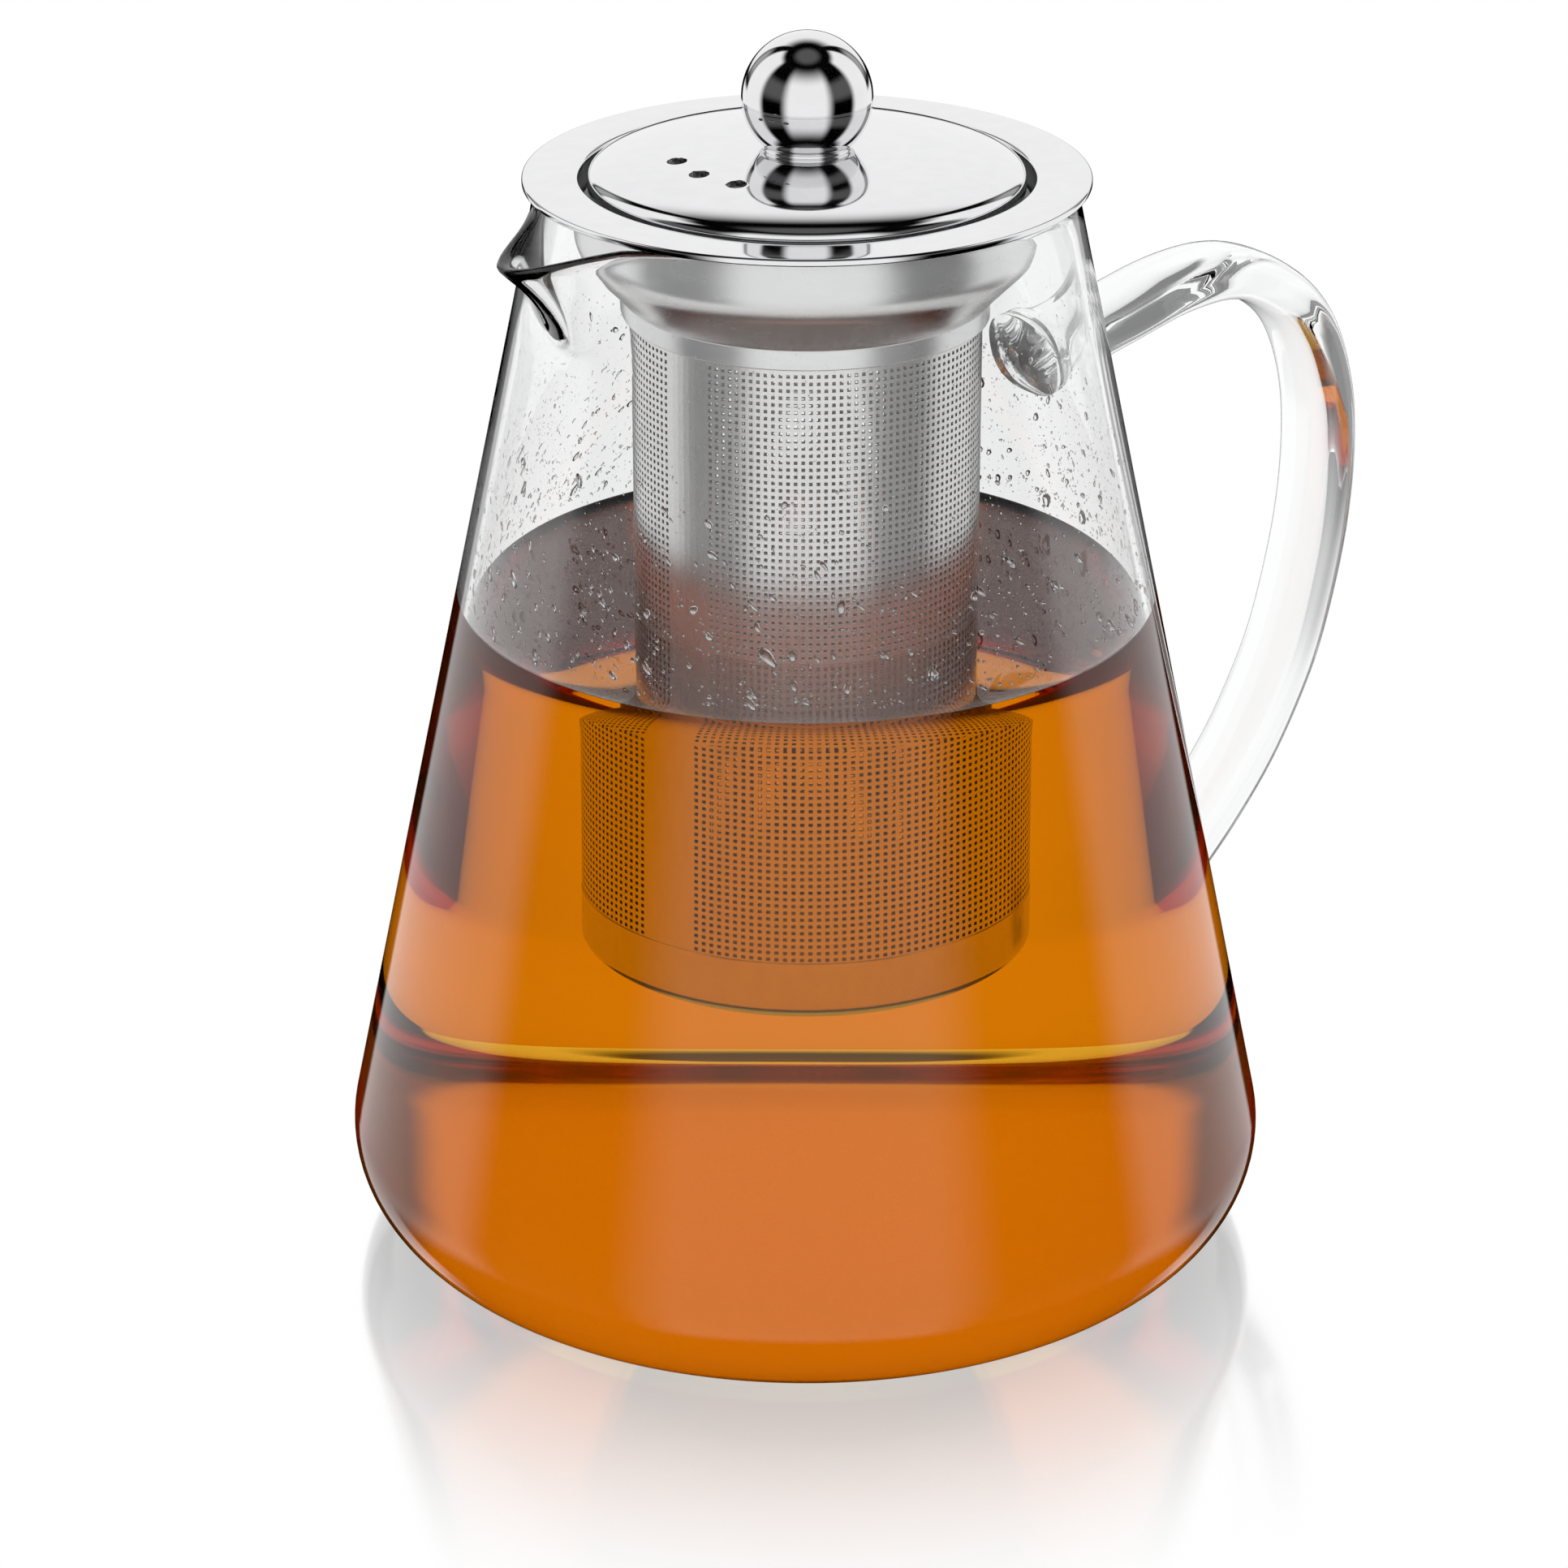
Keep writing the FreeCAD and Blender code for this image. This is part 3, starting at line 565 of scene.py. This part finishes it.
def perforated_sheet(top, rows):
    """Closed thin sheet, one square hole per cell, with a plain strip at the seam."""
    verts = []
    faces = []
    index = {}

    def vertex(column, row, which):
        """Point of a cell: column and row count four to a cell, which is 0 outside and 1 inside."""
        wrapped = column % (4 * COLUMNS)
        key = (wrapped, row, which)
        if key not in index:
            cell = wrapped // 4
            offset = CELL_LINES[wrapped % 4]
            line = row // 4
            drop = CELL_LINES[row % 4]
            angle = math.radians(SEAM_AZIMUTH) + 2 * math.pi * (cell + offset) / COLUMNS
            radius = TUBE_IN if which else TUBE_OUT
            index[key] = len(verts)
            verts.append((radius * math.cos(angle), radius * math.sin(angle), top - (line + drop) * PITCH))
        return index[key]

    for row in range(rows):
        for column in range(COLUMNS):
            c = 4 * column
            r = 4 * row
            outer = [(c, r), (c + 4, r), (c + 4, r + 4), (c, r + 4)]
            plain = column < SEAM_COLUMNS / 2 or column >= COLUMNS - SEAM_COLUMNS / 2
            for which in (0, 1):
                corner = [vertex(a, b, which) for a, b in outer]
                if plain:
                    faces.append(corner)
                    continue
                hole = [vertex(c + a, r + b, which) for a, b in HOLE_CORNERS]
                for side in range(4):
                    following = (side + 1) % 4
                    faces.append([corner[side], corner[following], hole[following], hole[side]])
            if not plain:
                for (a, b), (d, e) in zip(HOLE_CORNERS, HOLE_CORNERS[1:] + HOLE_CORNERS[:1]):
                    faces.append([vertex(c + a, r + b, 0), vertex(c + d, r + e, 0),
                                  vertex(c + d, r + e, 1), vertex(c + a, r + b, 1)])
    for row in (0, 4 * rows):
        for column in range(COLUMNS):
            c = 4 * column
            faces.append([vertex(c, row, 0), vertex(c + 4, row, 0), vertex(c + 4, row, 1), vertex(c, row, 1)])
    return verts, faces


HALF_ROWS = SCREEN_ROWS // 2
verts, faces = perforated_sheet(SCREEN_TOP, HALF_ROWS)
piece_from("infuser_screen_upper", verts, faces, "infuser", SATIN, ["infuser_tube"],
           smooth=False)
verts, faces = perforated_sheet(SCREEN_TOP - HALF_ROWS * PITCH, HALF_ROWS)
steeped = piece_from("infuser_screen_lower", verts, faces, "infuser", STEEPED, smooth=False)
steeped.data.materials.append(INSIDE_SHADE_STEEL)
# Faces that look into the tube get the dark steel, which is painted shade inside the tube.
for face in steeped.data.polygons:
    outward = (face.normal.x * face.center.x + face.normal.y * face.center.y) / face.center.xy.length
    if outward < -0.5:
        face.material_index = 1

band = [(TUBE_IN, SCREEN_TOP), (TUBE_OUT, SCREEN_TOP), (TUBE_OUT, TUBE_TOP), (TUBE_IN, TUBE_TOP)]
verts, faces = lathe(band, COLUMNS)
piece_from("infuser_top_band", verts, faces, "infuser", SATIN, smooth=False)

CUP_OUT = TUBE_OUT + 0.05
CUP_IN = TUBE_IN - 0.3
CUP_FLOOR = CUP_BOTTOM + 0.6
cup = rounded([
    (0.0, CUP_BOTTOM, 0.0), (CUP_OUT, CUP_BOTTOM, 2.0), (CUP_OUT, SCREEN_FOOT, 0.2),
    (CUP_IN, SCREEN_FOOT, 0.0), (CUP_IN, CUP_FLOOR, 1.4), (0.0, CUP_FLOOR, 0.0)], 8)
verts, faces = lathe(densify(cup, STEEL_STEP), FINE_AROUND, closed=False)
piece_from("infuser_cup", verts, faces, "infuser", STEEPED, ["infuser_base"])


# ----------------------------------------------------------------------- lid

CAP_RADIUS = 30.0
CAP_BASE = BRIM_TOP - 0.45
CAP_HEIGHT = 4.05
CAP_SHEET = 0.8
CAP_POWER = 2.5                               # 2 is an ellipse; more is flatter with a tighter edge
CAP_STEPS = 72
CAP_STEP = 1.5
CAP_FOOT = BRIM_TOP - 1.8
SCREW_HOLE = 2.1


def crown(radius, height, steps):
    """Crown that is flat in the middle and rolls over at the edge, from the axis side out."""
    power = 2 / CAP_POWER
    points = []
    for step in range(steps + 1):
        turn = math.radians(90.0 - 90.0 * step / steps)
        points.append((radius * math.cos(turn) ** power, height * math.sin(turn) ** power))
    return points


outer = [(r, CAP_BASE + z) for r, z in crown(CAP_RADIUS, CAP_HEIGHT, CAP_STEPS)]
inside = crown(CAP_RADIUS - CAP_SHEET, CAP_HEIGHT, CAP_STEPS)
inner = [(r, CAP_BASE - CAP_SHEET + z) for r, z in inside]
cap = [p for p in outer if p[0] > SCREW_HOLE] + [(CAP_RADIUS, CAP_FOOT), (CAP_RADIUS - CAP_SHEET, CAP_FOOT)]
cap += [p for p in inner if p[0] > SCREW_HOLE][::-1]
verts, faces = lathe(densify(cap, CAP_STEP), FINE_AROUND)
lid = piece_from("lid_dome", verts, faces, "lid", MIRROR, ["lid_cap"])


DRILL_AROUND = 48


def drill(piece, places, radius, low, high):
    """Cuts upright round holes through a piece."""
    for number, (x, y) in enumerate(places):
        outline = [(0.0, low), (radius, low), (radius, high), (0.0, high)]
        verts, faces = lathe(outline, DRILL_AROUND, closed=False)
        mesh = bpy.data.meshes.new(f"drill_{number}")
        mesh.from_pydata([((v[0] + x) * MM, (v[1] + y) * MM, v[2] * MM) for v in verts], [], faces)
        tool = bpy.data.objects.new(f"drill_{number}", mesh)
        bpy.context.collection.objects.link(tool)
        cut = piece.modifiers.new("cut", "BOOLEAN")
        cut.object = tool
        cut.operation = "DIFFERENCE"
        cut.solver = "EXACT"
        bpy.context.view_layer.update()
        shape = bpy.data.meshes.new_from_object(piece.evaluated_get(bpy.context.evaluated_depsgraph_get()))
        piece.modifiers.clear()
        piece.data = shape
        bpy.data.objects.remove(tool)


VENT_CIRCLE = 18.4
VENT_SPREAD = 21.3                            # degrees
VENT_RADIUS = 1.4
vents = []
for place in (-1, 0, 1):
    turn = math.radians(180.0 + place * VENT_SPREAD)
    vents.append((VENT_CIRCLE * math.cos(turn), VENT_CIRCLE * math.sin(turn)))
drill(lid, vents, VENT_RADIUS, BRIM_TOP - 3.0, BRIM_TOP + 6.0)

BALL_RADIUS = 9.0
BALL_CENTRE = BRIM_TOP + 10.6
BALL_CUT = 6.4
BALL_FLAT = BALL_CENTRE - BALL_CUT
BALL_STEPS = 64
BALL_AROUND = 192
FLAT_RING = 5.9                               # one more ring on the ball's flat face
HOLE_TOP = BALL_FLAT + 6.5
SEAT = BRIM_TOP + 3.5
NECKRING_OUT = 6.15
NECKRING_WAIST = 6.0
NECKRING_AROUND = 160
low_turn = math.asin(-BALL_CUT / BALL_RADIUS)
ball = []
for step in range(BALL_STEPS + 1):
    turn = low_turn + (math.pi / 2 - low_turn) * step / BALL_STEPS
    ball.append((BALL_RADIUS * math.cos(turn), BALL_CENTRE + BALL_RADIUS * math.sin(turn)))
ball[-1] = (0.0, BALL_CENTRE + BALL_RADIUS)
ball = [(SCREW_HOLE, BALL_FLAT), (FLAT_RING, BALL_FLAT)] + ball
verts, faces = lathe(ball + [(0.0, HOLE_TOP), (SCREW_HOLE, HOLE_TOP)], BALL_AROUND)
piece_from("knob_sphere", verts, faces, "lid", MIRROR, ["knob_ball"])

ring = rounded([
    (SCREW_HOLE, SEAT, 0.0), (NECKRING_OUT, SEAT, 0.15), (NECKRING_WAIST, (SEAT + BALL_FLAT) / 2, 0.0),
    (NECKRING_OUT, BALL_FLAT, 0.15), (SCREW_HOLE, BALL_FLAT, 0.0)], 8)
verts, faces = lathe(ring, NECKRING_AROUND)
piece_from("knob_neck", verts, faces, "lid", MIRROR, ["knob_collar"])

FINISHES = {"lid_skirt": TURNED, "lid_seal": SILICONE, "knob_washer": TURNED, "knob_screw": TURNED}
for node, finish in FINISHES.items():
    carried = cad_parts[node]
    carried.data.materials.clear()
    carried.data.materials.append(finish)


# -------------------------------------------------------------- condensation

DRY_BAND = 3.0                                # clear wall between the tea and the lowest drop
FEWER_UPWARDS = 1.25                          # power that crowds drops towards the tea
WET_REACH = 40.0                              # drops shrink over this height above the tea
DROP_LIFT = 0.28                              # a drop's height off the wall as a share of its size
DROP_OUT = 0.06                               # the drops' rims lie this far inside the glass
DROP_BACK = 0.05
DROP_TALL = (0.8, 1.7)                        # least and most height over width
DROP_SLANT = (-0.9, 0.1)
SMALL_HIGH_UP = 0.55                          # size of the highest drops as a share of the drawn one
LARGER_LOW_DOWN = 0.75


def droplets(count, seed, smallest, mean, largest, top, rings, around):
    """Flattened drops on the inner wall above the tea, larger towards it and sunk slightly into the glass."""
    chance = random.Random(seed)
    verts = []
    faces = []
    for _ in range(count):
        z = TEA_LEVEL + DRY_BAND + (top - TEA_LEVEL - DRY_BAND) * chance.random() ** FEWER_UPWARDS
        angle = chance.uniform(0, 2 * math.pi)
        low_down = max(0.0, 1.0 - (z - TEA_LEVEL) / WET_REACH)
        size = min(largest, smallest + chance.expovariate(1.0 / mean))
        size *= SMALL_HIGH_UP + LARGER_LOW_DOWN * low_down
        tall = size * chance.uniform(*DROP_TALL)
        lift = size * DROP_LIFT
        slant = chance.uniform(*DROP_SLANT)
        wall = MOUTH - WALL + LEAN * (RIM - z) + DROP_OUT
        base = len(verts)
        shape = chance.uniform(0, 2 * math.pi)
        for ring in range(rings):
            open_turn = math.pi / 2 * ring / rings
            for step in range(around):
                turn = 2 * math.pi * step / around
                wobble = 1.0 + 0.14 * math.sin(2 * turn + shape) + 0.10 * math.sin(3 * turn + 2 * shape)
                u = size * math.cos(open_turn) * math.cos(turn) * wobble
                v = tall * math.cos(open_turn) * math.sin(turn) * wobble
                u += v * slant
                r = wall - LEAN * v - lift * math.sin(open_turn)
                a = angle + u / wall
                verts.append((r * math.cos(a), r * math.sin(a), z + v))
        for r in (wall - lift, wall + DROP_BACK):
            verts.append((r * math.cos(angle), r * math.sin(angle), z))
        for ring in range(rings - 1):
            for step in range(around):
                following = (step + 1) % around
                a = base + ring * around
                b = a + around
                faces.append((a + step, a + following, b + following, b + step))
        last = base + (rings - 1) * around
        peak = base + rings * around
        for step in range(around):
            following = (step + 1) % around
            faces.append((last + step, last + following, peak))
            faces.append((base + following, base + step, peak + 1))
    return verts, faces


verts, faces = droplets(1150, 4, 0.10, 0.15, 0.8, 126.0, 3, 10)
piece_from("condensation", verts, faces, "carafe", WATER)
verts, faces = droplets(6500, 9, 0.05, 0.05, 0.3, 146.0, 2, 6)
piece_from("condensation_mist", verts, faces, "carafe", WATER)


# --------------------------------------------------------------------- studio

VIEW_TURN = math.radians(37.72)               # the studio is turned to stand square to the camera


def direction_value(tree):
    """Azimuth from straight behind the pot and elevation of a world direction, both in degrees."""
    place = tree.nodes.new("ShaderNodeTexCoord")
    turn = tree.nodes.new("ShaderNodeVectorRotate")
    turn.rotation_type = "Z_AXIS"
    turn.inputs["Angle"].default_value = VIEW_TURN
    split = tree.nodes.new("ShaderNodeSeparateXYZ")
    tree.links.new(place.outputs["Generated"], turn.inputs["Vector"])
    tree.links.new(turn.outputs["Vector"], split.inputs["Vector"])
    sideways = math_node(tree, "ARCTAN2", math_node(tree, "ABSOLUTE", split.outputs["X"]), split.outputs["Y"])
    azimuth = math_node(tree, "DEGREES", sideways)
    elevation = math_node(tree, "DEGREES", math_node(tree, "ARCSINE", split.outputs["Z"]))
    return azimuth, elevation


def math_node(tree, operation, first, second=None):
    """Output of a Math node; each input is a number or a socket."""
    node = tree.nodes.new("ShaderNodeMath")
    node.operation = operation
    for socket, value in zip(node.inputs, (first, second)):
        if value is None:
            continue
        if isinstance(value, (int, float)):
            socket.default_value = value
        else:
            tree.links.new(value, socket)
    return node.outputs[0]


def step_up(tree, value, at, soft):
    """0 below at, 1 above it, with a soft edge that wide."""
    node = tree.nodes.new("ShaderNodeMapRange")
    node.interpolation_type = "SMOOTHSTEP"
    node.inputs["From Min"].default_value = at - soft / 2
    node.inputs["From Max"].default_value = at + soft / 2
    node.inputs["To Min"].default_value = 0.0
    node.inputs["To Max"].default_value = 1.0
    tree.links.new(value, node.inputs["Value"])
    return node.outputs["Result"]


def between(tree, value, low, low_soft, high, high_soft):
    """1 between low and high, with soft edges that wide."""
    rise = step_up(tree, value, low, low_soft)
    fall = math_node(tree, "SUBTRACT", 1.0, step_up(tree, value, high, high_soft))
    return math_node(tree, "MULTIPLY", rise, fall)


def panel(tree, azimuth, elevation, sides, heights, radiance):
    """Light from a patch of the room; sides and heights are (low, soft, high, soft) in degrees."""
    area = math_node(tree, "MULTIPLY", between(tree, azimuth, *sides), between(tree, elevation, *heights))
    return math_node(tree, "MULTIPLY", area, radiance)


def total(tree, values):
    """Sum of sockets and numbers, the first being a socket."""
    result = values[0]
    for value in values[1:]:
        result = math_node(tree, "ADD", result, value)
    return result


def choose(tree, pick, off, on):
    """on where pick is 1, off where it is 0."""
    rest = math_node(tree, "SUBTRACT", 1.0, pick)
    picked = math_node(tree, "MULTIPLY", pick, on)
    return math_node(tree, "ADD", picked, math_node(tree, "MULTIPLY", rest, off))


world = bpy.data.worlds.new("studio")
bpy.context.scene.world = world
world.use_nodes = True
tree = world.node_tree
background = tree.nodes["Background"]
azimuth, elevation = direction_value(tree)

# What steel and the outside of the glass mirror.
sides = panel(tree, azimuth, elevation, (49.0, 6.0, 92.0, 14.0), (-32.0, 12.0, 56.0, 10.0), 1.0)
front = panel(tree, azimuth, elevation, (140.0, 20.0, 400.0, 1.0), (-45.0, 10.0, 48.0, 36.0), 1.0)
backdrop = panel(tree, azimuth, elevation, (-1.0, 0.5, 33.0, 4.0), (-1.0, 4.0, 50.0, 24.0), 1.0)
low_sides = panel(tree, azimuth, elevation, (28.0, 4.0, 49.0, 6.0), (-45.0, 8.0, -6.0, 5.0), 1.0)
between_lights = panel(tree, azimuth, elevation, (94.0, 12.0, 138.0, 14.0), (4.0, 14.0, 32.0, 14.0), 0.10)
beside_backdrop = panel(tree, azimuth, elevation, (36.0, 5.0, 47.0, 5.0), (4.0, 14.0, 32.0, 14.0), 0.4)
overhead = math_node(tree, "MULTIPLY", step_up(tree, elevation, 74.0, 12.0), 0.10)
mirrored = total(tree, [sides, low_sides, front, backdrop, between_lights, beside_backdrop, overhead])

# What is mirrored by something in the tea, or by the bottom under it.
behind_soft = panel(tree, azimuth, elevation, (-1.0, 0.5, 35.0, 10.0), (-1.0, 4.0, 50.0, 24.0), 1.0)
far_sides = panel(tree, azimuth, elevation, (76.0, 6.0, 125.0, 20.0), (-32.0, 12.0, 56.0, 10.0), 1.0)
tea_panels = total(tree, [far_sides, front, behind_soft])
mirrored_in_tea = math_node(tree, "ADD", math_node(tree, "MULTIPLY", tea_panels, 0.8), 0.2)

# What is seen straight through the tea.
straight = panel(tree, azimuth, elevation, (-1.0, 0.5, 30.5, 2.5), (-50.0, 10.0, 43.0, 6.0), 0.96)
around = panel(tree, azimuth, elevation, (84.0, 12.0, 400.0, 1.0), (-50.0, 10.0, 43.0, 6.0), 0.94)
through = math_node(tree, "ADD", math_node(tree, "ADD", straight, around), 0.02)

# More than four crossings mean that light has been through the tea. A path through the spout or the handle
# can count as many without it.
path = tree.nodes.new("ShaderNodeLightPath")
was_mirrored = math_node(tree, "GREATER_THAN", path.outputs["Glossy Depth"], 0.5)
deep = math_node(tree, "GREATER_THAN", path.outputs["Transmission Depth"], 4.5)
through_glass = math_node(tree, "GREATER_THAN", path.outputs["Transmission Depth"], 0.5)
mirrored_in_glass = math_node(tree, "ADD", math_node(tree, "MULTIPLY", mirrored, 0.75), 0.25)
plain = choose(tree, was_mirrored, 1.0, choose(tree, through_glass, mirrored, mirrored_in_glass))
in_tea = choose(tree, was_mirrored, through, mirrored_in_tea)
tree.links.new(choose(tree, deep, plain, in_tea), background.inputs["Strength"])
background.inputs["Color"].default_value = (1.0, 1.0, 1.0, 1.0)


FLOOR_REACH = 3.0                             # metres
FLOOR_GAP = 0.0002                            # metres, so that the floor and the glass never touch
TABLE_GAP = 0.0004                            # metres
TABLE_REACH = 195.0
TABLE_AROUND = 96
UNDER_EDGE = 39.0                             # the table is half lit up to here
RING_EDGE = 68.0                              # and white from here


def pale_floor():
    """White floor with a soft mirror image of the pot that dies away from it."""
    mesh = bpy.data.meshes.new("floor")
    reach = FLOOR_REACH
    corners = [(-reach, -reach, 0), (reach, -reach, 0), (reach, reach, 0), (-reach, reach, 0)]
    mesh.from_pydata(corners, [], [(0, 1, 2, 3)])
    floor = bpy.data.objects.new("floor", mesh)
    floor.location.z = -FLOOR_GAP
    bpy.context.collection.objects.link(floor)
    made = bpy.data.materials.new("pale_floor")
    made.use_nodes = True
    tree = made.node_tree
    tree.nodes.clear()
    output = tree.nodes.new("ShaderNodeOutputMaterial")
    glow = tree.nodes.new("ShaderNodeEmission")
    glow.inputs["Color"].default_value = (1, 1, 1, 1)
    glow.inputs["Strength"].default_value = 1.0
    gloss = tree.nodes.new("ShaderNodeBsdfGlossy")
    gloss.inputs["Color"].default_value = (1, 1, 1, 1)
    gloss.inputs["Roughness"].default_value = 0.09
    mix = tree.nodes.new("ShaderNodeMixShader")
    place = tree.nodes.new("ShaderNodeTexCoord")
    length = tree.nodes.new("ShaderNodeVectorMath")
    length.operation = "LENGTH"
    tree.links.new(place.outputs["Object"], length.inputs[0])
    fade = tree.nodes.new("ShaderNodeMapRange")
    fade.interpolation_type = "SMOOTHSTEP"
    fade.inputs["From Min"].default_value = 0.050
    fade.inputs["From Max"].default_value = 0.120
    fade.inputs["To Min"].default_value = 0.5
    fade.inputs["To Max"].default_value = 0.0
    tree.links.new(length.outputs["Value"], fade.inputs["Value"])
    tree.links.new(fade.outputs["Result"], mix.inputs["Fac"])
    tree.links.new(glow.outputs[0], mix.inputs[1])
    tree.links.new(gloss.outputs[0], mix.inputs[2])
    tree.links.new(mix.outputs[0], output.inputs["Surface"])
    mesh.materials.append(made)
    floor.visible_transmission = False
    floor.visible_glossy = False


def glow_table():
    """Glowing table top seen only through glass: a painted pool of light under the pot's middle, a painted
    shadow round its edge, white beyond.
    """
    outline = [(0.0, 0.0), (60.0, 0.0), (100.0, 0.0), (TABLE_REACH, 0.0)]
    verts, faces = lathe(outline, TABLE_AROUND, closed=False)
    mesh = bpy.data.meshes.new("glow_table")
    mesh.from_pydata([tuple(c * MM for c in v) for v in verts], [], faces)
    table = bpy.data.objects.new("glow_table", mesh)
    table.location.z = -TABLE_GAP
    bpy.context.collection.objects.link(table)
    made = bpy.data.materials.new("glow_table")
    made.use_nodes = True
    tree = made.node_tree
    tree.nodes.clear()
    output = tree.nodes.new("ShaderNodeOutputMaterial")
    glow = tree.nodes.new("ShaderNodeEmission")
    place = tree.nodes.new("ShaderNodeTexCoord")
    length = tree.nodes.new("ShaderNodeVectorMath")
    length.operation = "LENGTH"
    tree.links.new(place.outputs["Object"], length.inputs[0])
    distance = math_node(tree, "MULTIPLY", length.outputs["Value"], 1 / MM)
    # under is a painted pool of light below the pot's middle; the dark band between UNDER_EDGE and RING_EDGE
    # is a painted shadow round the pot.
    under = math_node(tree, "SUBTRACT", 1.0, step_up(tree, distance, UNDER_EDGE, 4.0))
    ring_light = math_node(tree, "MULTIPLY", step_up(tree, distance, RING_EDGE, 2.5), 0.9)
    level = total(tree, [math_node(tree, "MULTIPLY", under, 0.45), ring_light, 0.1])
    tree.links.new(level, glow.inputs["Strength"])
    tree.links.new(glow.outputs[0], output.inputs["Surface"])
    mesh.materials.append(made)
    table.visible_camera = False
    table.visible_glossy = False
    table.visible_diffuse = False
    table.visible_shadow = False


pale_floor()
glow_table()

scene = bpy.context.scene
scene.view_settings.view_transform = "Standard"
scene.cycles.max_bounces = 24
scene.cycles.transmission_bounces = 24
scene.cycles.glossy_bounces = 10

camera = bpy.data.objects.new("camera", bpy.data.cameras.new("camera"))
bpy.context.collection.objects.link(camera)
camera.location = (-0.3972, -0.5084, 0.3546)
camera.rotation_euler = Euler((math.radians(65.93), 0.0, -VIEW_TURN))
camera.data.sensor_width = 36.0
camera.data.lens = 112.48
scene.camera = camera
